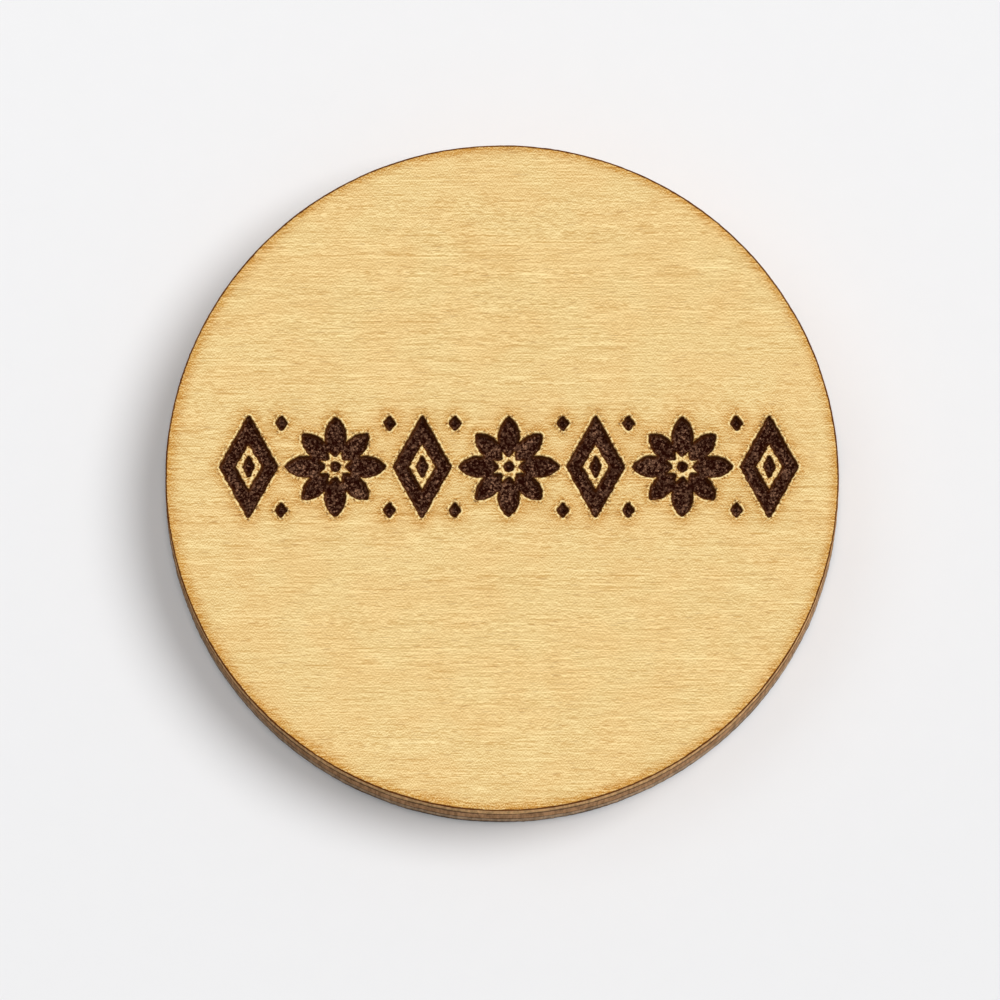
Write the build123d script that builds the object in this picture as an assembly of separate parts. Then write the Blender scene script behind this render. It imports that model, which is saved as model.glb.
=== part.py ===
from build123d import *
import os
from math import cos, pi, sin

# A round game token, cut and engraved by laser from three-ply board.
# Three wood plies lie on each other, with a thin film of glue in each joint between them. The grain of the
# two outer plies runs along X, and that of the core along Y. A band of seven ornaments is engraved into the
# face ply. Row frame: origin at the centre of the back face, +Z towards the engraved face, +Y up the face.
# Sizes are in millimetres.

# The blank
token_diameter = 25.4
face_ply_thickness = 0.90
core_ply_thickness = 1.10
back_ply_thickness = 0.90
glue_thickness = 0.05

# The engraving
engraving_depth = 0.30
band_height = 3.90
band_end_margin = 1.80      # from each end of the band to the rim, with the band centred
band_shift_x = 0.25         # how far the laser bed was off centre
band_shift_y = 0.40
ornament_gap = 0.22
spot_radius = 0.10          # the laser spot rounds every outer corner

# The strokes inside the ornaments
petal_width = 0.86
short_petal_width = 0.78
petal_root = 0.36           # from a rosette's centre to where its petals start
eye_radius = 0.22           # the dot at the centre of a rosette
eye_points = 8
lozenge_stroke = 0.56
seed_width = 0.50           # the small diamonds above and below each joint between two ornaments
seed_height = 0.60

# The band from one end to the other, and how its width is shared out
ornaments = ["lozenge", "rosette", "lozenge", "rosette", "lozenge", "rosette", "lozenge"]
width_weights = {"lozenge": 2.28, "rosette": 3.90}
rosette_petals = 8
short_petal_share = 0.92    # a rosette's diagonal petals, as a share of its straight ones
lozenge_eye_share = 0.52    # a lozenge's eye, as a share of its opening

token_radius = token_diameter / 2
band_width = token_diameter - 2 * band_end_margin
ornament_space = band_width - (len(ornaments) - 1) * ornament_gap
weight_sum = sum(width_weights[kind] for kind in ornaments)


def closed(points):
    """A face with straight sides through these points."""
    return make_face(Polyline(*points, close=True))


def burnt(face):
    """The face as the laser spot leaves it: drawn a spot radius small, then grown by that radius."""
    return offset(face, amount=spot_radius, kind=Kind.ARC)


def petal(root, tip, width, angle):
    """A pointed leaf from root to tip along the direction of angle, in degrees, and width across."""
    start, end = root + spot_radius, tip - spot_radius
    half = width / 2 - spot_radius
    middle = (start + end) / 2
    upper = ThreePointArc((start, 0), (middle, half), (end, 0))
    lower = ThreePointArc((end, 0), (middle, -half), (start, 0))
    return Rot(0, 0, angle) * burnt(make_face([upper, lower]))


def star(radius, points):
    """A small regular polygon with one corner on +Y."""
    drawn = radius - spot_radius
    corners = [(drawn * sin(2 * pi * i / points), drawn * cos(2 * pi * i / points)) for i in range(points)]
    return burnt(closed(corners))


def diamond(width, height):
    """A rhombus with its corners on the axes."""
    return closed([(width / 2, 0), (0, height / 2), (-width / 2, 0), (0, -height / 2)])


def rosette(width):
    """Petals on the axes with slightly shorter ones between them, round a small eye."""
    reach = min(width, band_height) / 2
    step = 360 / rosette_petals
    turns = range(rosette_petals // 2)
    long_ones = [petal(petal_root, reach, petal_width, 2 * i * step) for i in turns]
    short_reach = reach * short_petal_share
    short_ones = [petal(petal_root, short_reach, short_petal_width, (2 * i + 1) * step) for i in turns]
    return [*long_ones, *short_ones, star(eye_radius, eye_points)]


def lozenge(width):
    """A diamond drawn as a stroke, with a small solid diamond inside it."""
    outer = burnt(diamond(width - 2 * spot_radius, band_height - 2 * spot_radius))
    slope = (width**2 + band_height**2) ** 0.5
    inner_width = width - 2 * lozenge_stroke * slope / band_height
    inner_height = band_height - 2 * lozenge_stroke * slope / width
    eye_width = inner_width * lozenge_eye_share
    eye_height = inner_height * lozenge_eye_share
    eye = burnt(diamond(eye_width - 2 * spot_radius, eye_height - 2 * spot_radius))
    return [outer - diamond(inner_width, inner_height), eye]


def seeds():
    """A pair of small diamonds, one on the band's upper edge and one on its lower edge."""
    seed = burnt(diamond(seed_width - 2 * spot_radius, seed_height - 2 * spot_radius))
    height = (band_height - seed_height) / 2
    return [Pos(0, height, 0) * seed, Pos(0, -height, 0) * seed]


def band():
    """Every engraved face, flat on the XY plane, with the whole band in its place on the token."""
    draw = {"lozenge": lozenge, "rosette": rosette}
    faces = []
    left = -band_width / 2
    for i, kind in enumerate(ornaments):
        if i:
            joint = Pos(left - ornament_gap / 2, 0, 0)
            faces += [joint * face for face in seeds()]
        width = ornament_space * width_weights[kind] / weight_sum
        middle = Pos(left + width / 2, 0, 0)
        faces += [middle * face for face in draw[kind](width)]
        left += width + ornament_gap
    return [Pos(band_shift_x, band_shift_y, 0) * face for face in faces]


def sheet_disc(low, thickness):
    """One layer of the blank, from the height low upwards."""
    return extrude(Pos(0, 0, low) * Circle(token_radius), amount=thickness)


def engrave(ply, top):
    """The ply with the band sunk into its upper face, which is at the height top."""
    for face in band():
        ply -= extrude(Pos(0, 0, top) * face, amount=-engraving_depth)
    return ply


def layers():
    """Every layer of the token by name, from the back face upwards."""
    stack = [
        ("back_ply", back_ply_thickness),
        ("back_glue_line", glue_thickness),
        ("core_ply", core_ply_thickness),
        ("face_glue_line", glue_thickness),
        ("face_ply", face_ply_thickness),
    ]
    made = {}
    height = 0.0
    for name, thickness in stack:
        made[name] = sheet_disc(height, thickness)
        height += thickness
    made["face_ply"] = engrave(made["face_ply"], height)
    return made


os.makedirs("parts", exist_ok=True)
for node, solid in layers().items():
    export_step(solid, os.path.join("parts", node + ".step"))
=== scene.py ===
"""A round plywood game token, cut and engraved by laser, lying on a pale table.

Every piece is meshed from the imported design: the disc from its box, and the engraving from the outlines of
its pocket floors. All lengths are in metres. The token lies in the XY plane, and its engraved face looks up
along +Z.
"""
from math import cos, pi, radians, sin

import bpy
import numpy as np
from bpy.props import FloatProperty, FloatVectorProperty, IntProperty, PointerProperty
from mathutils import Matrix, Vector
from mathutils.geometry import delaunay_2d_cdt
from mathutils.kdtree import KDTree


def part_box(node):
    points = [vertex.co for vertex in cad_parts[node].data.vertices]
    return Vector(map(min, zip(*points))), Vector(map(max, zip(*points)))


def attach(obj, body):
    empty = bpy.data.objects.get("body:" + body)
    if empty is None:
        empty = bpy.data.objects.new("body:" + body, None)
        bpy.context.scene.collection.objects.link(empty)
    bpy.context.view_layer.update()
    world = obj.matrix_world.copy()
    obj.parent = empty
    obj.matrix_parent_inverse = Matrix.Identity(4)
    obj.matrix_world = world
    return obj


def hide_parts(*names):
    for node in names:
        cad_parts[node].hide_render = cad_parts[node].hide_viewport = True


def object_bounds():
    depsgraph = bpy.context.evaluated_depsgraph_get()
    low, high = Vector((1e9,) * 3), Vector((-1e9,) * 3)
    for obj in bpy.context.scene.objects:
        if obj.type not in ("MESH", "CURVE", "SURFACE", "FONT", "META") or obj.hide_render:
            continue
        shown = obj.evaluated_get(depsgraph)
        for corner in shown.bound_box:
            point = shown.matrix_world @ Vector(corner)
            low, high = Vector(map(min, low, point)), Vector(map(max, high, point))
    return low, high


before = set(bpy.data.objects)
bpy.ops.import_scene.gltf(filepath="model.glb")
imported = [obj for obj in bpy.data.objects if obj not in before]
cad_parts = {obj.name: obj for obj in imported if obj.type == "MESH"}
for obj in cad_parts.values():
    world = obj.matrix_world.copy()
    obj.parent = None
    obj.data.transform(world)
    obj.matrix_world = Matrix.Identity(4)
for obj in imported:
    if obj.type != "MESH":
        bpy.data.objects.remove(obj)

bl_info = {
    "name": "Plywood Token",
    "version": (1, 0, 0),
    "blender": (4, 5, 0),
    "location": "View3D > Sidebar > Token",
    "description": "Builds a laser-cut, laser-engraved plywood game token and its studio",
    "category": "Add Mesh",
}

MM = 0.001
CAD_BOX = [list(corner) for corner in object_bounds()]
RADIUS = (CAD_BOX[1][0] - CAD_BOX[0][0]) / 2
THICKNESS = CAD_BOX[1][2]
GLUE_LINES = ("face_glue_line", "back_glue_line")

# The side facing away from the key light, along X and along Y. The face's toasted margin reaches further in
# on this side, where the extractor drew the laser's fumes, and the cut wall gets painted shade on this side.
SHADE_AND_SMOKE_TURN = radians(210)
SHADE_AND_SMOKE = (cos(SHADE_AND_SMOKE_TURN), sin(SHADE_AND_SMOKE_TURN))

CAP_MARGIN = 0.30 * MM       # from the rim to the edge of a layer's flat cap
FACE_MARGIN = 0.20 * MM      # from the rim to the edge of the face's engraved cap
CAP_PITCH = 1.0 * MM         # mesh spacing over a flat cap
CREASE = radians(58)         # a corner sharper than this is shaded sharp
LATTICE = 4096               # values in a table of noise

# Seeds of the noise on the cut wall, at its corners, along the outlines, in the mesh and in the pockets
SEED_STRIPES, SEED_SWELL, SEED_PORES, SEED_FIBRES = 11, 23, 31, 37
SEED_CRUMBS, SEED_FINE_CRUMBS = 41, 43
SEED_RAGGED, SEED_PASSES = 51, 57
SEED_JITTER_X, SEED_JITTER_Y = 61, 67
SEED_FRAY, SEED_GRIT, SEED_FINE_GRIT = 71, 73, 79


def paint(red, green, blue):
    """A screen colour, from 0 to 255, as the linear colour that a shader takes."""
    parts = [value / 255 for value in (red, green, blue)]
    return [part / 12.92 if part <= 0.04045 else ((part + 0.055) / 1.055) ** 2.4 for part in parts]


# ---- settings

def length(name, description, default):
    """A setting in metres."""
    return FloatProperty(
        name=name, description=description, default=default, min=0.0, precision=6,
        subtype="DISTANCE", unit="LENGTH",
    )


def colour(name, description, red, green, blue):
    """A colour setting, given as a screen colour."""
    return FloatVectorProperty(
        name=name, description=description, default=paint(red, green, blue), size=3, min=0.0, max=1.0,
        subtype="COLOR",
    )


def angle(name, description, degrees):
    """A setting for an angle, given in degrees."""
    return FloatProperty(
        name=name, description=description, default=radians(degrees), min=0.0,
        subtype="ANGLE", unit="ROTATION",
    )


def strength(name, description, default):
    """A setting for how much light there is."""
    return FloatProperty(name=name, description=description, default=default, min=0.0, subtype="FACTOR")


class TokenCut(bpy.types.PropertyGroup):
    """What the laser did to the board: the cut rim and the engraved pockets."""

    columns: IntProperty(name="Rim columns", description="Mesh columns round the rim", default=1400, min=64)
    row: length("Rim row", "Height of one row of mesh on the cut wall", 0.075 * MM)
    taper: length("Kerf taper", "How much further in the rim is at the face than at the back", 0.035 * MM)
    stripe: length("Stripe depth", "Depth of the upright stripes that the beam left on the wall", 0.013 * MM)
    stripe_pitch: length("Stripe pitch", "Spacing of those stripes", 0.16 * MM)
    pore: length("Pore depth", "Depth of the open pores where the wall cuts across the grain", 0.022 * MM)
    glue_recess: length("Glue recess", "How far the beam ate the glue lines back", 0.022 * MM)
    arris: length("Arris", "Rounding of the rim's burnt corners", 0.045 * MM)
    crumble: length("Crumble", "Unevenness of the rim's corners", 0.016 * MM)
    outline_step: length("Outline step", "Mesh spacing along a pocket's outline", 0.042 * MM)
    ragged: length("Ragged edge", "Unevenness of a pocket's outline", 0.022 * MM)
    scan_line: length("Scan line", "Spacing of the laser's passes over a pocket", 0.085 * MM)
    wall_run: length("Wall run", "How far a pocket's wall leans in on its way down", 0.055 * MM)
    lip: length("Lip", "Height of the raised fibres round a pocket", 0.012 * MM)
    floor_grit: length("Floor grit", "Roughness of a pocket's burnt floor", 0.030 * MM)


class TokenWood(bpy.types.PropertyGroup):
    """The look of the wood, the burns and the glue."""

    light: colour("Pale wood", "Early wood of the sanded face", 251, 227, 167)
    dark: colour("Dark wood", "Late wood of the sanded face", 206, 164, 96)
    pore_tint: colour("Pore", "Fine pores along the grain", 182, 138, 80)
    blush: colour("Blush", "What multiplies the wood's colour where it is warmer", 255, 251, 248)
    toast: colour("Toast", "What the beam's heat multiplies the wood's colour by", 225, 194, 140)
    bare: colour("Bare fibres", "Pale torn fibres round a pocket", 252, 228, 166)
    cut_face: colour("Cut face ply", "Cut wall of the face ply", 250, 197, 134)
    cut_core: colour("Cut core", "Cut wall of the core, darker because its end grain chars", 206, 156, 108)
    cut_back: colour("Cut back ply", "Cut wall of the back ply, in the smoke of the cut", 210, 177, 142)
    scorch: colour("Scorch", "Wood burnt brown at a cut corner", 88, 44, 12)
    char: colour("Char", "Charred wood", 34, 5, 0)
    ash: colour("Ash", "Grey-brown flecks on charred wood", 149, 109, 84)
    glue: colour("Glue", "Resin glue line, burnt dark", 48, 26, 12)
    grain_length: length("Fibre length", "Length of one fibre streak", 1.4 * MM)
    grain_pitch: length("Fibre pitch", "Spacing of the fibre streaks", 0.064 * MM)
    grain_wander: length("Fibre wander", "How far a streak wanders sideways", 0.012 * MM)
    toast_reach: length("Toasted margin", "Width of the toasted margin inside the rim", 0.78 * MM)
    halo_reach: length("Halo", "Width of the toasted margin round a pocket", 1.0 * MM)


class TokenStudio(bpy.types.PropertyGroup):
    """The table, the lights and the camera."""

    table: colour("Table", "Plain pale table", 237, 237, 238)
    room: colour("Room", "What shows beyond the table", 242, 242, 243)
    distance: length("Camera distance", "From the token's middle to the camera", 550 * MM)
    view_width: length("View width", "Width of the view at the token", 37.55 * MM)
    elevation: angle("Camera elevation", "Angle above the table", 81.5)
    aim_left: length("Aim left", "How far left of the token's middle the camera aims", 0.078 * MM)
    aim_short: length("Aim short", "How far short of the token's middle the camera aims", 0.871 * MM)
    key_height: angle("Key light height", "How high the key light stands above the table", 58.4)
    key_turn: angle("Key light direction", "Where the key light stands, turned from +X", 20.2)
    key_breadth: angle("Key light breadth", "How wide the key light looks from the token", 36.8)
    key_strength: strength("Key light strength", "Its light on a surface square to it", 1.98)
    top_breadth: angle("Top light breadth", "How wide the light overhead looks from the token", 10.0)
    top_strength: strength("Top light strength", "Light from overhead on the table", 0.70)
    fill_height: angle("Fill light height", "How high the fill light stands above the table", 55.0)
    fill_turn: angle("Fill light direction", "Where the fill light stands, turned from +X", 145.0)
    fill_breadth: angle("Fill light breadth", "How wide the fill light looks from the token", 40.0)
    fill_strength: strength("Fill light strength", "Its light on a surface square to it", 0.29)
    sky: strength("Room light", "Strength of the even light from the room", 0.245)


# ---- noise

def lattice_tables(seed):
    """A shuffled index table and a table of values from -1 to 1, the same for the same seed."""
    source = np.random.RandomState(seed)
    return source.permutation(LATTICE), source.uniform(-1.0, 1.0, LATTICE)


def smooth_noise(places, seed):
    """Smooth noise from -1 to 1 at each row of places, with one lattice cell to a unit."""
    order, values = lattice_tables(seed)
    cell = np.floor(places).astype(np.int64)
    part = places - cell
    part = part * part * (3 - 2 * part)
    total = np.zeros(len(places))
    for corner in np.ndindex(*(2,) * places.shape[1]):
        index = np.zeros(len(places), np.int64)
        weight = np.ones(len(places))
        for axis, step in enumerate(corner):
            index = order[(index + cell[:, axis] + step) % LATTICE]
            weight *= part[:, axis] if step else 1 - part[:, axis]
        total += weight * values[index]
    return total


def rough_noise(places, seed, octaves=3):
    """Layers of smooth noise, each at half the pitch and half the height of the one before."""
    layers = [smooth_noise(places * 2**i, seed + i) * 0.5**i for i in range(octaves)]
    return sum(layers) / sum(0.5**i for i in range(octaves))


def smooth_step(low, high, value):
    """Nought below low and one above high, with a smooth change between them."""
    share = np.clip((value - low) / (high - low), 0, 1)
    return share * share * (3 - 2 * share)


# ---- meshes

def new_piece(name, points, faces, material, attributes=None):
    """A mesh object that rides on the token and stands for the CAD node of the same name."""
    mesh = bpy.data.meshes.new(name)
    mesh.from_pydata([tuple(p) for p in points], [], faces)
    mesh.validate()
    for title, values in (attributes or {}).items():
        layer = mesh.attributes.new(title, "FLOAT", "POINT")
        layer.data.foreach_set("value", np.asarray(values, np.float32))
    mesh.shade_smooth()
    mesh.set_sharp_from_angle(angle=CREASE)
    mesh.materials.append(material)
    piece = bpy.data.objects.new(name + "_piece", mesh)
    bpy.context.scene.collection.objects.link(piece)
    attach(piece, "root")
    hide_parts(name)
    return piece


def triangulate(points):
    """Triangles over points in the plane, worked out in millimetres.

    Returns the points without their doubles, the triangles, and each given point's place among the points.
    """
    smallest_gap = 1e-6
    in_mm = [Vector((x / MM, y / MM)) for x, y in points]
    made, _, faces, origins, _, _ = delaunay_2d_cdt(in_mm, [], [], 0, smallest_gap)
    place = {old: new for new, olds in enumerate(origins) for old in olds}
    return np.array([tuple(p) for p in made]) * MM, faces, place


def thin_out(points, gap):
    """The places in the list of the points that lie at least a gap from every one kept before them."""
    kept, grid = [], {}
    for i, (x, y) in enumerate(points):
        column, line = int(x // gap), int(y // gap)
        near = any(
            (x - u) ** 2 + (y - v) ** 2 < gap * gap
            for c in (column - 1, column, column + 1)
            for r in (line - 1, line, line + 1)
            for u, v in grid.get((c, r), ())
        )
        if not near:
            grid.setdefault((column, line), []).append((x, y))
            kept.append(i)
    return kept


def circle_points(radius, count):
    """Evenly spaced points round a circle, from +X."""
    turns = np.arange(count) * 2 * pi / count
    return np.column_stack([radius * np.cos(turns), radius * np.sin(turns)])


def disc_points(radius, count, pitch):
    """Rings that thin out from count points at the rim, then a grid of this pitch over the middle."""
    rings = [circle_points(radius, count)]
    gap = 2 * pi * radius / count
    inner = radius
    while gap * 1.6 < pitch:
        inner -= gap * 1.3
        gap *= 1.8
        rings.append(circle_points(inner, int(2 * pi * inner / gap)))
    middle = plane_grid(radius, pitch)
    middle = middle[np.hypot(*middle.T) < inner - gap]
    return np.concatenate([*rings, middle])


def plane_grid(reach, pitch):
    """A grid of triangles' corners over a square that reaches this far each way."""
    steps = np.arange(-reach, reach, pitch)
    return np.array([(x + pitch / 2 * (j % 2), y) for j, y in enumerate(steps) for x in steps])


def flat_cap(count, radius, pitch, height):
    """A flat disc whose rim is a circle of count points: its points, triangles and the rim's places."""
    plane, triangles, place = triangulate(disc_points(radius, count, pitch))
    points = np.column_stack([plane, np.full(len(plane), height)])
    return points, triangles, [place[i] for i in range(count)]


# ---- the cut rim

def node_levels(node):
    """The lowest and highest height of a CAD node."""
    low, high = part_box(node)
    return low.z, high.z


def wall_radius(cut, turns, height, grain_turn, pores):
    """The rim's radius at each turn and height, stripes and pores included, as the beam left it."""
    # The stripes lean, because the foot of the beam trailed behind its top
    lag = 0.35 * cut.stripe_pitch * np.sin(height / THICKNESS * pi / 2) / RADIUS
    x, y = RADIUS * np.cos(turns + lag), RADIUS * np.sin(turns + lag)
    upright = np.column_stack([x, y, height / 9])
    stripes = rough_noise(upright / cut.stripe_pitch, SEED_STRIPES)
    swell = smooth_noise(np.column_stack([x, y, height / 4]) / (6 * cut.stripe_pitch), SEED_SWELL)
    deeper_below = 1.25 - 0.6 * height / THICKNESS
    across = np.abs(np.cos(turns - grain_turn))
    speckle = smooth_noise(np.column_stack([x, y, height]) / (0.075 * MM), SEED_PORES)
    pits = np.clip(speckle - 0.25, 0, 1) * across**2 * pores
    fibres = smooth_noise(np.column_stack([x / 6, y / 6, height * 1.4]) / (0.12 * MM), SEED_FIBRES)
    radius = RADIUS - cut.taper * height / THICKNESS - cut.stripe
    radius += cut.stripe * deeper_below * stripes + 0.5 * cut.stripe * swell
    radius += 0.35 * cut.stripe * fibres * (1 - across) * pores
    return radius - cut.pore * pits


def wall_rows(cut, low, high, grain_turn, inset=0.0, pores=1.0, round_low=False, round_high=False):
    """Rings of points up the cut wall from low to high, drawn in at a burnt corner."""
    turns = np.arange(cut.columns) * 2 * pi / cut.columns
    outwards = circle_points(1.0, cut.columns)
    crumbs = 1 + 0.8 * smooth_noise(outwards * RADIUS / (0.22 * MM), SEED_CRUMBS)
    crumbs += 0.5 * smooth_noise(outwards * RADIUS / (0.07 * MM), SEED_FINE_CRUMBS)
    count = max(2, int(round((high - low) / cut.row)) + 1)
    heights = set(np.linspace(low, high, count))
    corner = np.array([0.0, 0.3, 0.7, 1.0])    # where the rows lie over a rounded corner
    clear = cut.arris * 1.2
    if round_low:
        heights = {z for z in heights if z > low + clear} | set(low + cut.arris * corner)
    if round_high:
        heights = {z for z in heights if z < high - clear} | set(high - cut.arris * corner)
    rows = []
    for height in sorted(heights):
        radius = wall_radius(cut, turns, np.full(cut.columns, height), grain_turn, pores) - inset
        for rounded, end in ((round_low, low), (round_high, high)):
            depth = 1 - abs(height - end) / cut.arris
            if rounded and depth > 0:
                worn = 0.6 * cut.arris + cut.crumble * crumbs
                radius = radius - (1 - np.sqrt(1 - depth**2)) * worn
        rows.append(np.column_stack([outwards * radius[:, None], np.full_like(turns, height)]))
    return rows


def stitch(rows):
    """Quads between rings of points that follow each other up the wall, facing outwards."""
    count = len(rows[0])
    faces = []
    for a in range(0, (len(rows) - 1) * count, count):
        b = a + count
        faces += [(a + i, a + (i + 1) % count, b + (i + 1) % count, b + i) for i in range(count)]
    return faces


def closed_disc(rows, low_cap, high_cap):
    """One closed mesh from rings of points up its wall and the two caps whose rims are its end rings.

    The points come in the order of the rings, then the low cap's inner points, then the high cap's.
    """
    points = [np.concatenate(rows)]
    faces = stitch(rows)
    total = len(points[0])
    for (cap_points, triangles, rim), ring_start, turn in (
        (low_cap, 0, -1),
        (high_cap, total - len(rows[-1]), 1),
    ):
        where = {place: ring_start + i for i, place in enumerate(rim)}
        inner = [i for i in range(len(cap_points)) if i not in where]
        where.update({place: total + i for i, place in enumerate(inner)})
        points.append(cap_points[inner])
        total += len(inner)
        faces += [tuple(where[i] for i in triangle[::turn]) for triangle in triangles]
    return np.concatenate(points), faces


def ring_at(count, radius, height):
    """A level ring of points."""
    return np.column_stack([circle_points(radius, count), np.full(count, height)])


# ---- the engraving

def floor_outlines(node):
    """How deep the pockets in a CAD node are, and their floors' closed outlines.

    Each outline runs with the floor on its left.
    """
    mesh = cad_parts[node].data
    low, high = node_levels(node)
    places = [tuple(round(value / MM, 5) for value in v.co) for v in mesh.vertices]
    slack = 0.001 * MM
    edges = set()
    for polygon in mesh.polygons:
        ring = [places[v] for v in polygon.vertices]
        level = ring[0][2] * MM
        flat = all(z == ring[0][2] for _, _, z in ring)
        if flat and low + slack < level < high - slack:
            edges.update(zip(ring, ring[1:] + ring[:1]))
    following = {a: b for a, b in edges if (b, a) not in edges}
    if not following:
        raise RuntimeError(node + " has no pocket floors")
    depth = high - next(iter(following))[2] * MM
    outlines = []
    while following:
        start = min(following)
        outline, place = [start], following.pop(start)
        while place != start:
            outline.append(place)
            place = following.pop(place)
        outlines.append(np.array(outline)[:, :2] * MM)
    return depth, outlines


def resample(outline, step):
    """Evenly spaced points along a closed outline."""
    closed = np.vstack([outline, outline[:1]])
    along = np.concatenate([[0], np.cumsum(np.hypot(*np.diff(closed, axis=0).T))])
    count = max(8, int(round(along[-1] / step)))
    stations = np.arange(count) * along[-1] / count
    return np.column_stack([np.interp(stations, along, closed[:, axis]) for axis in (0, 1)])


def face_side(outline):
    """At each point of a pocket's outline, the direction away from the pocket."""
    ahead = np.roll(outline, -1, axis=0) - np.roll(outline, 1, axis=0)
    ahead /= np.hypot(*ahead.T)[:, None]
    return np.column_stack([ahead[:, 1], -ahead[:, 0]])


def burn_outline(cut, outline):
    """An outline as the laser leaves it: uneven, and a little out of step from one pass to the next."""
    even = resample(outline, cut.outline_step)
    uneven = cut.ragged * rough_noise(even / (0.08 * MM), SEED_RAGGED, 2)
    burnt = even + face_side(even) * uneven[:, None]
    passes = np.floor(burnt[:, 1:] / cut.scan_line)
    burnt[:, 0] += 0.7 * cut.ragged * smooth_noise(passes, SEED_PASSES)
    return burnt


class Pockets:
    """The engraved pockets, seen from above."""

    def __init__(self, cut, outlines):
        self.loops = [burn_outline(cut, outline) for outline in outlines]
        edge = np.concatenate([resample(loop, cut.outline_step / 6) for loop in self.loops])
        self.tree = KDTree(len(edge))
        for i, (x, y) in enumerate(edge):
            self.tree.insert((x / MM, y / MM, 0), i)
        self.tree.balance()

    def inside(self, places):
        """Whether each place is in a pocket, by how often a line from it crosses the outlines."""
        found = np.zeros(len(places), bool)
        for loop in self.loops:
            near = np.flatnonzero(((places > loop.min(0)) & (places < loop.max(0))).all(axis=1))
            x, y = places[near].T
            (ax, ay), (bx, by) = loop.T[:, :, None], np.roll(loop, -1, axis=0).T[:, :, None]
            crosses = (ay > y) != (by > y)
            rise = np.where(by == ay, 1.0, by - ay)
            left = x < ax + (y - ay) * (bx - ax) / rise
            found[near] ^= (crosses & left).sum(axis=0) % 2 == 1
        return found

    def distance(self, places):
        """The distance from each place to the nearest pocket edge, below zero inside a pocket."""
        far = np.array([self.tree.find((x / MM, y / MM, 0))[2] for x, y in places]) * MM
        return np.where(self.inside(places), -far, far)


def edge_rows(cut, pockets):
    """Points in rows that follow the pockets' edges, from the foot of the wall to beyond the lip."""
    run = cut.wall_run
    offsets = [0.0, -run, 0.02 * MM, -0.5 * run, 0.055 * MM, -run - 0.04 * MM, 0.10 * MM, 0.16 * MM]
    places, wanted = [], []
    for offset in offsets:
        for loop in pockets.loops:
            row = loop + face_side(loop) * offset
            places.append(row)
            wanted.append(np.full(len(row), offset))
    places, wanted = np.concatenate(places), np.concatenate(wanted)
    reached = pockets.distance(places)
    reached[wanted == 0] = 0
    fits = np.abs(reached - wanted) < 0.15 * np.abs(wanted) + 0.004 * MM
    places, reached = places[fits], reached[fits]
    kept = thin_out(places, 0.35 * cut.outline_step)
    return places[kept], reached[kept]


def field_grids(cut, pockets, radius):
    """Grids over the pocket floors and the face, finer the nearer they are to a pocket's edge."""
    # The spacing of each grid, and how near to and how far from a pocket's edge it is used
    bands = (
        (0.058 * MM, -9 * MM, -cut.wall_run - 0.065 * MM),
        (0.11 * MM, 0.22 * MM, 0.50 * MM),
        (0.24 * MM, 0.50 * MM, 1.10 * MM),
        (0.50 * MM, 1.10 * MM, 99 * MM),
    )
    places, reached = [], []
    for pitch, nearest, furthest in bands:
        grid = plane_grid(radius, pitch)
        seeds = (SEED_JITTER_X, SEED_JITTER_Y)
        jitter = np.column_stack([smooth_noise(grid / pitch * 0.77, seed) for seed in seeds])
        grid = grid + 0.3 * pitch * jitter
        grid = grid[np.hypot(*grid.T) < radius - 0.5 * MM]
        if furthest < 0:
            grid = grid[pockets.inside(grid)]
        distance = pockets.distance(grid)
        fits = (distance > nearest) & (distance < furthest)
        places.append(grid[fits])
        reached.append(distance[fits])
    return np.concatenate(places), np.concatenate(reached)


def engraved_height(cut, depth, places, distance):
    """The face's height at each place, from nought on the face, by its distance from a pocket's edge."""
    fray = 1 + 0.8 * smooth_noise(places / (0.10 * MM), SEED_FRAY)
    rise = smooth_step(0, 0.02 * MM, distance)
    fall = 1 - smooth_step(0.04 * MM, 0.15 * MM, distance)
    lip = cut.lip * fray * rise * fall
    down = -distance / cut.wall_run
    wall = np.where(down < 0, 0, 0.06 + 0.86 * np.clip(down, 0, 1))
    foot = 0.08 * smooth_step(1.0, 1.8, down)
    grit = 0.7 * rough_noise(places / (0.15 * MM), SEED_GRIT)
    grit += 0.3 * smooth_noise(places / (0.05 * MM), SEED_FINE_GRIT)
    passes = 0.25 * np.sin(places[:, 1] * 2 * pi / cut.scan_line)
    burnt = smooth_step(0.5, 2.0, down) * cut.floor_grit * (grit + passes)
    return lip - depth * (wall + foot) + burnt


def engraved_cap(cut, radius, height):
    """The face ply's upper side inside this radius, with the pockets sunk into it.

    Returns its points, triangles and rim places, and each point's distance from a pocket.
    """
    depth, outlines = floor_outlines("face_ply")
    pockets = Pockets(cut, outlines)
    margin = np.concatenate([
        circle_points(radius, cut.columns),
        circle_points(radius - 0.08 * MM, cut.columns // 2),
        circle_points(radius - 0.24 * MM, cut.columns // 4),
    ])
    edges, edge_distance = edge_rows(cut, pockets)
    grids, grid_distance = field_grids(cut, pockets, radius)
    plane = np.concatenate([margin, edges, grids])
    distance = np.concatenate([pockets.distance(margin), edge_distance, grid_distance])
    made, triangles, place = triangulate(plane)
    reached = np.zeros(len(made))
    for old, new in place.items():
        reached[new] = distance[old]
    tall = height + engraved_height(cut, depth, made, reached)
    points = np.column_stack([made, tall])
    return (points, triangles, [place[i] for i in range(cut.columns)]), reached


# ---- shader nodes

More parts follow.
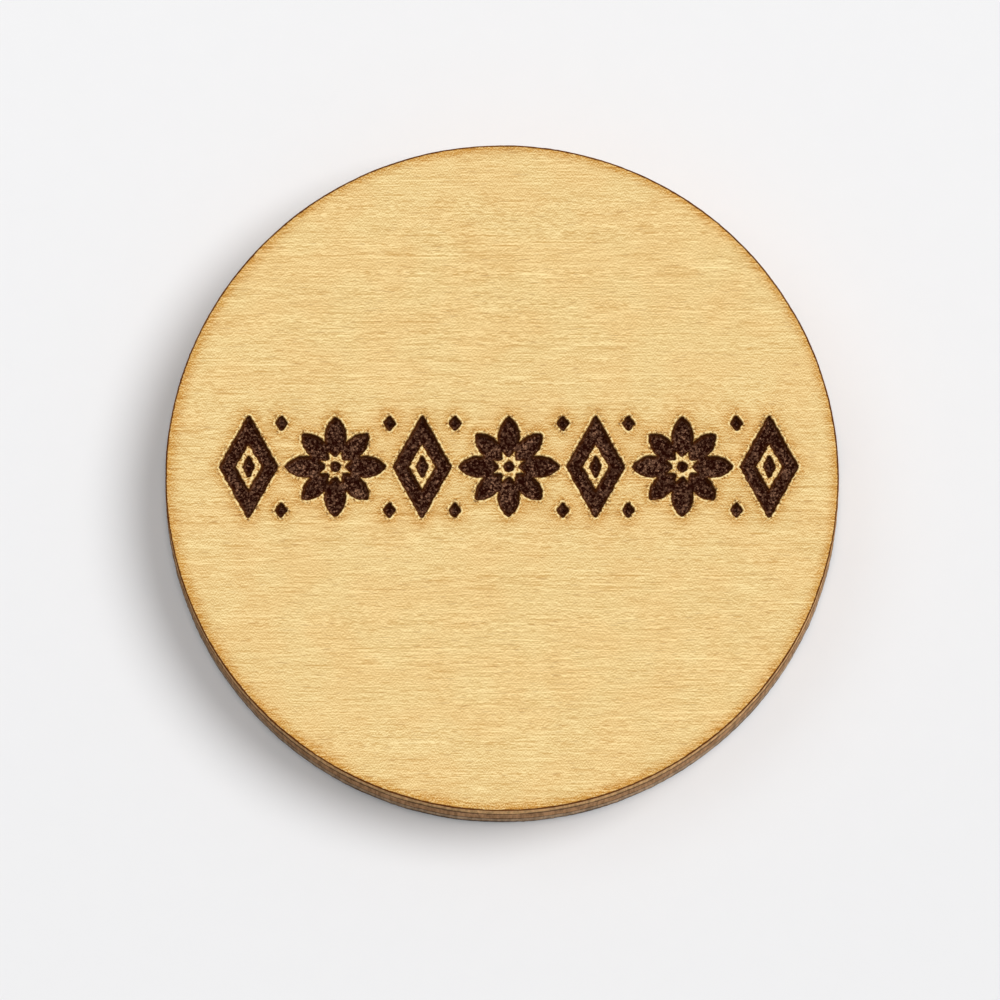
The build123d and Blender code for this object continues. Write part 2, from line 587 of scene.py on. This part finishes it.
class Graph:
    """Adds nodes to one node tree, each beside the last."""

    def __init__(self, tree):
        self.tree = tree

    def add(self, kind, inputs=None, **settings):
        """A new node, with each input linked to a socket or set to a value."""
        node = self.tree.nodes.new("ShaderNode" + kind)
        made = len(self.tree.nodes)
        node.location = (220 * (made // 5), -190 * (made % 5))
        for title, value in settings.items():
            setattr(node, title, value)
        for place, value in (inputs or {}).items():
            if isinstance(value, bpy.types.NodeSocket):
                self.tree.links.new(value, node.inputs[place])
            else:
                node.inputs[place].default_value = value
        return node

    def math(self, operation, *values):
        return self.add("Math", dict(enumerate(values)), operation=operation).outputs[0]

    def times(self, first, second):
        """The first value times the second."""
        return self.math("MULTIPLY", first, second)

    def over(self, first, second):
        """The first value over the second."""
        return self.math("DIVIDE", first, second)

    def total(self, *shares):
        """The sum of value times weight over pairs of them."""
        parts = [self.times(value, weight) for value, weight in shares]
        total = parts[0]
        for part in parts[1:]:
            total = self.math("ADD", total, part)
        return total

    def ramp(self, value, low, high, start=0.0, end=1.0):
        """A smooth change from start to end as value goes from low to high."""
        inputs = {"Value": value, "From Min": low, "From Max": high, "To Min": start, "To Max": end}
        return self.add("MapRange", inputs, interpolation_type="SMOOTHSTEP").outputs[0]

    def split(self, vector):
        """A vector's x, y and z."""
        return self.add("SeparateXYZ", {0: vector}).outputs

    def join(self, x, y, z):
        """The vector of x, y and z."""
        return self.add("CombineXYZ", {0: x, 1: y, 2: z}).outputs[0]

    def scale(self, vector, factor):
        """A vector times a plain number."""
        inputs = {0: vector, 1: (factor,) * 3}
        return self.add("VectorMath", inputs, operation="MULTIPLY").outputs[0]

    def noise(self, vector, detail=2.0, roughness=0.5):
        """Cloudy noise from nought to one, with one cloud to a unit."""
        inputs = {"Vector": vector, "Scale": 1.0, "Detail": detail, "Roughness": roughness}
        return self.add("TexNoise", inputs).outputs[0]

    def mix(self, share, first, second, blend="MIX"):
        """The first colour, with this share of the second blended over it."""
        inputs = {0: share, 6: first, 7: second}
        return self.add("Mix", inputs, data_type="RGBA", blend_type=blend).outputs[2]

    def bump(self, height, strength, distance, normal=None):
        """The surface's direction once height is raised by distance."""
        inputs = {"Height": height, "Strength": strength, "Distance": distance}
        if normal is not None:
            inputs["Normal"] = normal
        return self.add("Bump", inputs).outputs[0]


def new_group(name, inputs, outputs):
    """A shader node group with a vector and these values going in, and these values coming out."""
    tree = bpy.data.node_groups.new(name, "ShaderNodeTree")
    tree.interface.new_socket("Vector", in_out="INPUT", socket_type="NodeSocketVector")
    for title, default in inputs.items():
        socket = tree.interface.new_socket(title, in_out="INPUT", socket_type="NodeSocketFloat")
        socket.default_value = default
    for title in outputs:
        tree.interface.new_socket(title, in_out="OUTPUT", socket_type="NodeSocketFloat")
    given = tree.nodes.new("NodeGroupInput").outputs
    wanted = tree.nodes.new("NodeGroupOutput").inputs
    return tree, Graph(tree), given, wanted


def fibre_grain():
    """Straight streaks along X, as sanded veneer shows.

    Tone goes from dark to pale, Pore is the share of dark dashes, and Blush is how warm the wood is.
    """
    sizes = {"Length": 1.4 * MM, "Pitch": 0.064 * MM, "Wander": 0.012 * MM}
    tree, g, given, wanted = new_group("Fibre grain", sizes, ("Tone", "Pore", "Blush"))
    x, y, z = g.split(given["Vector"])
    sway = g.times(given["Length"], 3.0)
    slow = g.join(*(g.over(value, sway) for value in (x, y, z)))
    drift = g.times(g.math("SUBTRACT", g.noise(slow, 1.0), 0.5), given["Wander"])
    wandered = g.math("ADD", y, g.times(drift, 8.0))

    def streaks(stretch, spread, offset):
        """Streaks this many fibre lengths long and this many fibre pitches apart."""
        along = g.over(x, g.times(given["Length"], stretch))
        pitch = g.times(given["Pitch"], spread)
        across = g.math("ADD", g.over(wandered, pitch), offset)
        return g.noise(g.join(along, across, g.over(z, pitch)), 0.0)

    def ridges(stretch, spread, offset):
        """Streaks each with its own dark side, so that they leave no broad patches."""
        beside = streaks(stretch, spread, offset + 0.9)
        return g.math("SUBTRACT", streaks(stretch, spread, offset), beside)

    def lines(stretch, offset):
        """Long straight ridges, each coming and going along the grain in its own way."""
        row = g.math("FLOOR", g.math("ADD", g.over(wandered, given["Pitch"]), offset))
        along = g.over(x, g.times(given["Length"], stretch))
        own_place = g.join(along, g.times(row, 7.31), g.times(row, 3.17))
        share = g.noise(own_place, 0.0)
        return g.times(ridges(8.0, 1.0, offset), g.math("SUBTRACT", share, 0.5))

    fine = g.total(
        (ridges(0.040, 0.85, 3.7), 0.50),
        (lines(0.16, 17.3), 2.0),
        (lines(0.75, 41.9), 2.2),
        (ridges(2.4, 1.1, 73.1), 0.12),
    )
    broad = g.math("SUBTRACT", streaks(6.0, 16.0, 91.3), 0.5)
    g.tree.links.new(g.ramp(g.total((fine, 1.0), (broad, 0.02)), -0.36, 0.36), wanted["Tone"])
    g.tree.links.new(g.ramp(streaks(0.30, 0.8, 29.9), 0.70, 0.82), wanted["Pore"])
    g.tree.links.new(g.ramp(streaks(1.2, 22.0, 67.7), 0.35, 0.65), wanted["Blush"])
    return tree


def rim_heat():
    """How hot the beam made the face near the rim.

    Toast fades inwards from the rim, in tongues along the grain, and Scorch hugs the corner.
    """
    tree, g, given, wanted = new_group(
        "Rim heat", {"Radius": 12.7 * MM, "Reach": 0.8 * MM}, ("Toast", "Scorch")
    )
    x, y, z = g.split(given["Vector"])
    out = g.math("SQRT", g.math("ADD", g.times(x, x), g.times(y, y)))
    inside = g.math("SUBTRACT", given["Radius"], out)
    smoky = g.over(g.total((x, SHADE_AND_SMOKE[0]), (y, SHADE_AND_SMOKE[1])), given["Radius"])
    end_grain = g.over(g.math("ABSOLUTE", x), given["Radius"])
    by_smoke = g.ramp(smoky, -1.0, 1.0, 0.88, 1.1)
    by_grain = g.ramp(end_grain, 0.0, 1.0, 0.92, 1.05)
    reach = g.times(given["Reach"], g.times(by_smoke, by_grain))
    ragged = g.noise(
        g.join(
            g.over(x, g.times(given["Reach"], 0.6)),
            g.over(y, g.times(given["Reach"], 0.12)),
            g.over(z, given["Reach"]),
        ),
        3.0, 0.65,
    )
    patches_per_metre = 330.0
    patchy = g.noise(g.scale(given["Vector"], patches_per_metre))
    uneven = g.times(g.math("SUBTRACT", ragged, 0.5), g.times(reach, 0.7))
    depth = g.over(g.math("ADD", inside, uneven), reach)
    fade = g.math("POWER", g.ramp(depth, 0.0, 1.0, 1.0, 0.0), 1.8)
    toast = g.times(fade, g.ramp(patchy, 0.30, 0.68, 0.9, 1.25))
    g.tree.links.new(toast, wanted["Toast"])
    crumbs = g.times(g.math("SUBTRACT", ragged, 0.5), 0.12 * MM)
    scorch = g.ramp(g.math("ADD", inside, crumbs), 0.085 * MM, 0.125 * MM, 1.0, 0.0)
    g.tree.links.new(scorch, wanted["Scorch"])
    return tree


def beam_stripes():
    """Upright stripes that the beam leaves down a cut wall."""
    tree, g, given, wanted = new_group("Beam stripes", {"Pitch": 0.16 * MM}, ("Tone",))
    x, y, z = g.split(given["Vector"])
    pitch = given["Pitch"]
    places = [g.over(value, pitch) for value in (x, y)]
    tall = g.over(z, g.times(pitch, 9.0))
    stripes = g.noise(g.join(*places, tall), 3.0, 0.65)
    g.tree.links.new(g.ramp(stripes, 0.33, 0.67), wanted["Tone"])
    return tree


def soot():
    """Burnt wood's crust: Fleck is where pale ash shows, Crust its height."""
    tree, g, given, wanted = new_group("Soot", {"Grain": 0.07 * MM}, ("Fleck", "Crust"))
    places = g.add("VectorMath", {0: given["Vector"], 1: given["Grain"]}, operation="DIVIDE").outputs[0]
    crust = g.noise(places, 3.0, 0.65)
    cells = g.add("TexVoronoi", {"Vector": places, "Scale": 1.1}, feature="F1").outputs["Distance"]
    fleck = g.times(g.ramp(crust, 0.46, 0.60), g.ramp(cells, 0.15, 0.60, 1.0, 0.3))
    broad = g.noise(g.scale(places, 0.17), 1.0)
    fleck = g.times(fleck, g.ramp(broad, 0.32, 0.68, 0.5, 1.25))
    g.tree.links.new(fleck, wanted["Fleck"])
    g.tree.links.new(crust, wanted["Crust"])
    return tree


GROUPS = {"Fibre grain": fibre_grain, "Rim heat": rim_heat, "Beam stripes": beam_stripes, "Soot": soot}


class Finish:
    """A material under way: its nodes, the place on the token and the shared effects."""

    def __init__(self, name):
        self.material = bpy.data.materials.new(name)
        self.material.use_nodes = True
        self.shader = self.material.node_tree.nodes["Principled BSDF"]
        self.graph = Graph(self.material.node_tree)
        self.place = self.graph.add("TexCoord").outputs["Object"]

    def effect(self, name, **values):
        """A shared effect's outputs, here with these values."""
        tree = bpy.data.node_groups.get(name) or GROUPS[name]()
        inputs = {"Vector": self.place, **values}
        return self.graph.add("Group", inputs, node_tree=tree).outputs

    def attribute(self, name):
        """A number that the mesh holds at each point."""
        return self.graph.add("Attribute", attribute_name=name).outputs["Fac"]

    def finish(self, colour, roughness, normal, ior=1.10):
        """The finished material. A low ior keeps matt wood free of a grey sheen."""
        for value, socket in ((colour, "Base Color"), (roughness, "Roughness"), (normal, "Normal")):
            self.graph.tree.links.new(value, self.shader.inputs[socket])
        self.shader.inputs["IOR"].default_value = ior
        return self.material


def solid(tint):
    """A linear colour with its alpha."""
    return (*tint, 1.0)


def sanded_wood(finish, wood):
    """The sanded veneer's colour, its streaks as a height, and its tone from dark to pale."""
    g = finish.graph
    grain = finish.effect(
        "Fibre grain", Length=wood.grain_length, Pitch=wood.grain_pitch, Wander=wood.grain_wander
    )
    bare = g.mix(grain["Tone"], solid(wood.dark), solid(wood.light))
    bare = g.mix(g.times(grain["Pore"], 0.5), bare, solid(wood.pore_tint))
    bare = g.mix(grain["Blush"], bare, solid(wood.blush), "MULTIPLY")
    relief = g.total((grain["Tone"], 1.0), (grain["Pore"], -1.4))
    return bare, relief, grain["Tone"]


def cut_wall(finish, wood, cut, tint, burns):
    """The cut wall's colour, with painted shade on the side away from the key light, and the beam's stripes
    on it.

    A burn is the height that it starts from, 1 for up or -1 for down, its reach, its share and its colour.
    """
    g = finish.graph
    stripes = finish.effect("Beam stripes", Pitch=cut.stripe_pitch)["Tone"]
    flecks = finish.effect("Soot", Grain=0.06 * MM)["Fleck"]
    dark = [0.55 * part for part in tint]
    wall = g.mix(stripes, solid(dark), solid(tint))
    wall = g.mix(g.times(flecks, 0.15), wall, solid(wood.ash))
    x, y, z = g.split(finish.place)
    # Painted shade: char colour darkens the wall towards the side away from the key light. It stands in for
    # the shade there as well as for some char.
    smoke_and_shade = g.ramp(g.total((x, SHADE_AND_SMOKE[0]), (y, SHADE_AND_SMOKE[1])), 0.2 * RADIUS, RADIUS, 0.0, 0.30)
    wall = g.mix(smoke_and_shade, wall, solid(wood.char))
    patches_per_metre = 420.0
    uneven = g.ramp(g.noise(g.scale(finish.place, patches_per_metre)), 0.3, 0.7, 0.5, 1.3)
    for level, away, reach, share, burnt in burns:
        off = g.times(g.math("SUBTRACT", z, level), float(away))
        off = g.over(off, g.times(uneven, reach))
        wall = g.mix(g.ramp(off, 0.0, 1.0, share, 0.0), wall, solid(burnt))
    return wall, stripes


def on_cut(finish):
    """Where the surface is the cut wall and not the veneer's own face."""
    return finish.graph.ramp(finish.attribute("cut_wall"), 0.80, 0.98)


def toasted(finish, wood, bare, grain_tone, rim_toast, off_pocket):
    """The bare veneer, browned by the heat near the rim and round the pockets."""
    g = finish.graph
    halo = g.math("POWER", g.ramp(off_pocket, 0.0, wood.halo_reach, 1.0, 0.0), 3.0)
    toast = g.math("MAXIMUM", rim_toast, g.times(halo, 0.7))
    crust = finish.effect("Soot", Grain=0.045 * MM)["Crust"]
    mottle = g.math("SUBTRACT", crust, g.times(grain_tone, 0.2))
    toast = g.times(toast, g.ramp(mottle, 0.22, 0.58, 0.35, 1.65))
    return g.mix(toast, bare, solid(wood.toast), "MULTIPLY")


def frayed(finish, wood, top, crust, off_pocket):
    """The veneer with pale torn fibres and burnt specks along the pockets' edges."""
    g = finish.graph
    rise = g.ramp(off_pocket, 0.0, 0.02 * MM)
    fall = g.ramp(off_pocket, 0.045 * MM, 0.095 * MM, 1.0, 0.0)
    torn = g.times(g.times(rise, fall), g.ramp(crust, 0.47, 0.54, 0.0, 0.9))
    top = g.mix(torn, top, solid(wood.bare))
    near = g.ramp(off_pocket, 0.03 * MM, 0.24 * MM, 0.75, 0.0)
    specks = g.times(g.ramp(crust, 0.46, 0.38), near)
    return g.mix(specks, top, solid(wood.scorch))


def pocket_colour(finish, wood, fleck, off_pocket):
    """Char flecked with ash, and browner up a pocket's wall."""
    g = finish.graph
    burnt = g.mix(fleck, solid(wood.char), solid(wood.ash))
    up_the_wall = g.ramp(off_pocket, -0.16 * MM, -0.01 * MM, 0.0, 0.8)
    return g.mix(up_the_wall, burnt, solid(wood.scorch))


def face_finish(wood, cut):
    """Sanded veneer with a toasted margin, a burnt rim and burnt pockets."""
    finish = Finish("Face veneer")
    g = finish.graph
    low, high = node_levels("face_ply")
    bare, relief, grain_tone = sanded_wood(finish, wood)
    heat = finish.effect("Rim heat", Radius=RADIUS, Reach=wood.toast_reach)
    marks = finish.effect("Soot", Grain=0.095 * MM)
    off_pocket = g.times(finish.attribute("pocket_distance"), MM)
    top = toasted(finish, wood, bare, grain_tone, heat["Toast"], off_pocket)
    top = frayed(finish, wood, top, marks["Crust"], off_pocket)
    top = g.mix(g.times(heat["Scorch"], 0.9), top, solid(wood.scorch))
    sunk = g.ramp(off_pocket, -0.03 * MM, 0.010 * MM, 1.0, 0.0)
    top = g.mix(sunk, top, pocket_colour(finish, wood, marks["Fleck"], off_pocket))
    burns = ((low, 1, 0.46 * MM, 0.85, wood.char), (high, -1, 0.09 * MM, 1.0, wood.scorch))
    wall, _ = cut_wall(finish, wood, cut, wood.cut_face, burns)
    cut_share = on_cut(finish)
    colour_out = g.mix(cut_share, top, wall)
    roughness = g.ramp(g.math("MAXIMUM", sunk, cut_share), 0.0, 1.0, 0.58, 0.78)
    normal = g.bump(relief, 0.4, 0.004 * MM)
    crusted = g.times(marks["Crust"], sunk)
    normal = g.bump(crusted, 0.9, 0.03 * MM, normal)
    return finish.finish(colour_out, roughness, normal)


def core_finish(wood, cut):
    """The core's cut wall, dark with charred end grain."""
    finish = Finish("Core veneer")
    g = finish.graph
    low, high = node_levels("core_ply")
    burns = ((low, 1, 0.20 * MM, 0.6, wood.char), (high, -1, 0.08 * MM, 0.8, wood.char))
    wall, stripes = cut_wall(finish, wood, cut, wood.cut_core, burns)
    roughness = g.ramp(stripes, 0.0, 1.0, 0.82, 0.68)
    return finish.finish(wall, roughness, g.bump(stripes, 0.6, 0.012 * MM))


def back_finish(wood, cut):
    """A cut wall that the beam charred along the table, darkest at its foot, where the char is also painted
    contact shade, and a sanded back with a smoked margin.
    """
    finish = Finish("Back veneer")
    g = finish.graph
    low, high = node_levels("back_ply")
    bare, relief, _ = sanded_wood(finish, wood)
    heat = finish.effect("Rim heat", Radius=RADIUS, Reach=2.2 * wood.toast_reach)
    back = g.mix(heat["Toast"], bare, solid(wood.toast), "MULTIPLY")
    back = g.mix(g.times(heat["Scorch"], 0.9), back, solid(wood.char))
    # The dark band rising from the table at the foot of the wall is partly real char and partly painted
    # contact shade.
    burns = ((low, 1, 0.46 * MM, 0.95, wood.char), (high, -1, 0.10 * MM, 0.6, wood.char))
    wall, _ = cut_wall(finish, wood, cut, wood.cut_back, burns)
    cut_share = on_cut(finish)
    colour_out = g.mix(cut_share, back, wall)
    roughness = g.ramp(cut_share, 0.0, 1.0, 0.58, 0.78)
    return finish.finish(colour_out, roughness, g.bump(relief, 0.4, 0.004 * MM))


def glue_finish(wood):
    """Resin, burnt nearly black, with a little shine left."""
    finish = Finish("Glue line")
    g = finish.graph
    crust = finish.effect("Soot", Grain=0.05 * MM)
    tint = g.mix(crust["Fleck"], solid(wood.glue), solid(wood.ash))
    roughness = g.ramp(crust["Crust"], 0.3, 0.7, 0.45, 0.75)
    normal = g.bump(crust["Crust"], 0.6, 0.01 * MM)
    return finish.finish(tint, roughness, normal, ior=1.45)


# ---- the pieces

def on_wall(rows, other_points):
    """The share of cut wall at each point: one on the rings between the first and the last, else nought."""
    ring = len(rows[0])
    share = np.zeros(ring * len(rows) + other_points)
    share[ring:ring * (len(rows) - 1)] = 1
    return share


def build_face_ply(cut, wood):
    """The face veneer: a cut wall with a burnt upper corner, and an engraved cap inside the face's margin."""
    low, high = node_levels("face_ply")
    inner = RADIUS - CAP_MARGIN
    margin = RADIUS - FACE_MARGIN
    wall = wall_rows(cut, low, high, 0.0, round_high=True)
    top_cap, distance = engraved_cap(cut, margin, high)
    low_cap = flat_cap(cut.columns, inner, CAP_PITCH, low)
    rows = [ring_at(cut.columns, inner, low), *wall, ring_at(cut.columns, margin, high)]
    points, faces = closed_disc(rows, low_cap, top_cap)
    on_face = np.delete(distance, top_cap[2])
    # The wall, the underside and the rim's rings count as far from any pocket
    beyond = np.full(len(points) - len(on_face), 2 * MM)
    attributes = {
        "cut_wall": on_wall(rows, len(points) - sum(map(len, rows))),
        "pocket_distance": np.clip(np.concatenate([beyond, on_face]) / MM, -2, 2),
    }
    return new_piece("face_ply", points, faces, face_finish(wood, cut), attributes)


def build_inner_layer(cut, node, slot, material, **wall_options):
    """A layer of which only the rim shows, or the rim and a plain underside."""
    low, high = node_levels(node)
    inner = RADIUS - CAP_MARGIN
    wall = wall_rows(cut, low, high, **wall_options)
    rows = [ring_at(cut.columns, inner, low), *wall, ring_at(cut.columns, inner, high)]
    caps = [flat_cap(cut.columns, inner, CAP_PITCH, level) for level in (low, high)]
    points, faces = closed_disc(rows, *caps)
    attributes = {"cut_wall": on_wall(rows, len(points) - sum(map(len, rows)))}
    return new_piece(node, points, faces, material, attributes)


def settings():
    """The settings of the cut, the wood and the studio."""
    scene = bpy.context.scene
    return scene.token_cut, scene.token_wood, scene.token_studio


class TOKEN_OT_face_ply(bpy.types.Operator):
    """Build the face veneer with its engraved band"""

    bl_idname = "token.face_ply"
    bl_label = "Face Ply"

    def execute(self, context):
        cut, wood, _ = settings()
        build_face_ply(cut, wood)
        return {"FINISHED"}


class TOKEN_OT_core_ply(bpy.types.Operator):
    """Build the core veneer, whose grain runs across the other two"""

    bl_idname = "token.core_ply"
    bl_label = "Core Ply"

    def execute(self, context):
        cut, wood, _ = settings()
        material = core_finish(wood, cut)
        build_inner_layer(cut, "core_ply", "core_wood", material, grain_turn=pi / 2)
        return {"FINISHED"}


class TOKEN_OT_back_ply(bpy.types.Operator):
    """Build the back veneer, which lies on the table"""

    bl_idname = "token.back_ply"
    bl_label = "Back Ply"

    def execute(self, context):
        cut, wood, _ = settings()
        material = back_finish(wood, cut)
        build_inner_layer(cut, "back_ply", "back_wood", material, grain_turn=0.0, round_low=True)
        return {"FINISHED"}


class TOKEN_OT_glue_lines(bpy.types.Operator):
    """Build the two glue lines, which the beam ate back a little"""

    bl_idname = "token.glue_lines"
    bl_label = "Glue Lines"

    def execute(self, context):
        cut, wood, _ = settings()
        material = glue_finish(wood)
        rim = {"grain_turn": 0.0, "inset": cut.glue_recess, "pores": 0.0}
        for node in GLUE_LINES:
            build_inner_layer(cut, node, "glue", material, **rim)
        return {"FINISHED"}


# ---- the studio

def build_table(studio):
    """A plain pale table under the token, with painted shade that makes it a little darker in front of it
    than behind.
    """
    just_below = -0.01 * MM
    bpy.ops.mesh.primitive_plane_add(size=6.0, location=(0, 0, just_below))
    table = bpy.context.object
    table.name = "table"
    finish = Finish("Table top")
    g = finish.graph
    grains_per_metre = 900.0
    tooth = g.noise(g.scale(finish.place, grains_per_metre), 3.0)
    tint = g.mix(tooth, solid([0.985 * part for part in studio.table]), solid(studio.table))
    # Painted shade: the table darkens towards the front, standing in for the light falling off.
    near = g.ramp(g.split(finish.place)[1], -20 * MM, 20 * MM, 1.0, 0.0)
    tint = g.mix(near, tint, solid((0.967,) * 3), "MULTIPLY")
    roughness = g.ramp(tooth, 0.0, 1.0, 0.85, 0.9)
    normal = g.bump(tooth, 0.1, 0.05 * MM)
    table.data.materials.append(finish.finish(tint, roughness, normal))


def build_light(name, height, turn, breadth, strength):
    """A soft light as even as a large diffuser's, at this height above the table and turned from +X."""
    data = bpy.data.lights.new(name, "SUN")
    data.angle = breadth
    data.energy = strength
    lamp = bpy.data.objects.new(name, data)
    towards = Vector((cos(height) * cos(turn), cos(height) * sin(turn), sin(height)))
    lamp.rotation_mode = "QUATERNION"
    lamp.rotation_quaternion = towards.to_track_quat("Z", "Y")
    lamp.location = towards
    bpy.context.scene.collection.objects.link(lamp)


def build_room(studio):
    """Even light from all round, with a pale room behind the table's far edge."""
    world = bpy.data.worlds.new("room")
    world.use_nodes = True
    g = Graph(world.node_tree)
    background = world.node_tree.nodes["Background"]
    seen = g.add("LightPath").outputs["Is Camera Ray"]
    room = g.mix(seen, (studio.sky,) * 3 + (1.0,), solid(studio.room))
    world.node_tree.links.new(room, background.inputs["Color"])
    background.inputs["Strength"].default_value = 1.0
    bpy.context.scene.world = world


def build_camera(studio):
    """A long lens, a little off straight above, towards the front edge."""
    data = bpy.data.cameras.new("camera")
    data.sensor_width = 36.0
    data.lens = data.sensor_width * studio.distance / studio.view_width
    data.clip_start, data.clip_end = 0.01, 10.0
    camera = bpy.data.objects.new("camera", data)
    back = Vector((0, -cos(studio.elevation), sin(studio.elevation)))
    aim = Vector((-studio.aim_left, -studio.aim_short, THICKNESS))
    camera.location = aim + back * studio.distance
    camera.rotation_mode = "QUATERNION"
    camera.rotation_quaternion = (-back).to_track_quat("-Z", "Y")
    bpy.context.scene.collection.objects.link(camera)
    bpy.context.scene.camera = camera
    bpy.context.scene.view_settings.view_transform = "Standard"


class TOKEN_OT_studio(bpy.types.Operator):
    """Build the table, the lights and the camera"""

    bl_idname = "token.studio"
    bl_label = "Studio"

    def execute(self, context):
        _, _, studio = settings()
        build_camera(studio)
        build_table(studio)
        build_light("key_light", studio.key_height, studio.key_turn, studio.key_breadth, studio.key_strength)
        build_light("top_light", pi / 2, 0.0, studio.top_breadth, studio.top_strength)
        build_light(
            "fill_light", studio.fill_height, studio.fill_turn, studio.fill_breadth, studio.fill_strength
        )
        build_room(studio)
        return {"FINISHED"}


STEPS = (TOKEN_OT_studio, TOKEN_OT_face_ply, TOKEN_OT_core_ply, TOKEN_OT_back_ply, TOKEN_OT_glue_lines)


class TOKEN_PT_sidebar(bpy.types.Panel):
    """Lists the token's pieces and its studio"""

    bl_idname = "TOKEN_PT_sidebar"
    bl_label = "Plywood Token"
    bl_space_type = "VIEW_3D"
    bl_region_type = "UI"
    bl_category = "Token"

    def draw(self, context):
        for step in STEPS:
            self.layout.operator(step.bl_idname)
        for group in settings():
            box = self.layout.box()
            for title in group.bl_rna.properties.keys():
                if title not in {"rna_type", "name"}:
                    box.prop(group, title)


GROUP_PLACES = {"token_cut": TokenCut, "token_wood": TokenWood, "token_studio": TokenStudio}


def register():
    """Add the settings, the operators and the panel to Blender."""
    for made in (*GROUP_PLACES.values(), *STEPS, TOKEN_PT_sidebar):
        bpy.utils.register_class(made)
    for place, group in GROUP_PLACES.items():
        setattr(bpy.types.Scene, place, PointerProperty(type=group))


def unregister():
    """Take them out again."""
    for place in GROUP_PLACES:
        delattr(bpy.types.Scene, place)
    for made in (TOKEN_PT_sidebar, *reversed(STEPS), *GROUP_PLACES.values()):
        bpy.utils.unregister_class(made)


def main():
    """Build the token and its studio."""
    register()
    for step in STEPS:
        group, name = step.bl_idname.split(".")
        getattr(getattr(bpy.ops, group), name)()


if __name__ == "__main__":
    main()
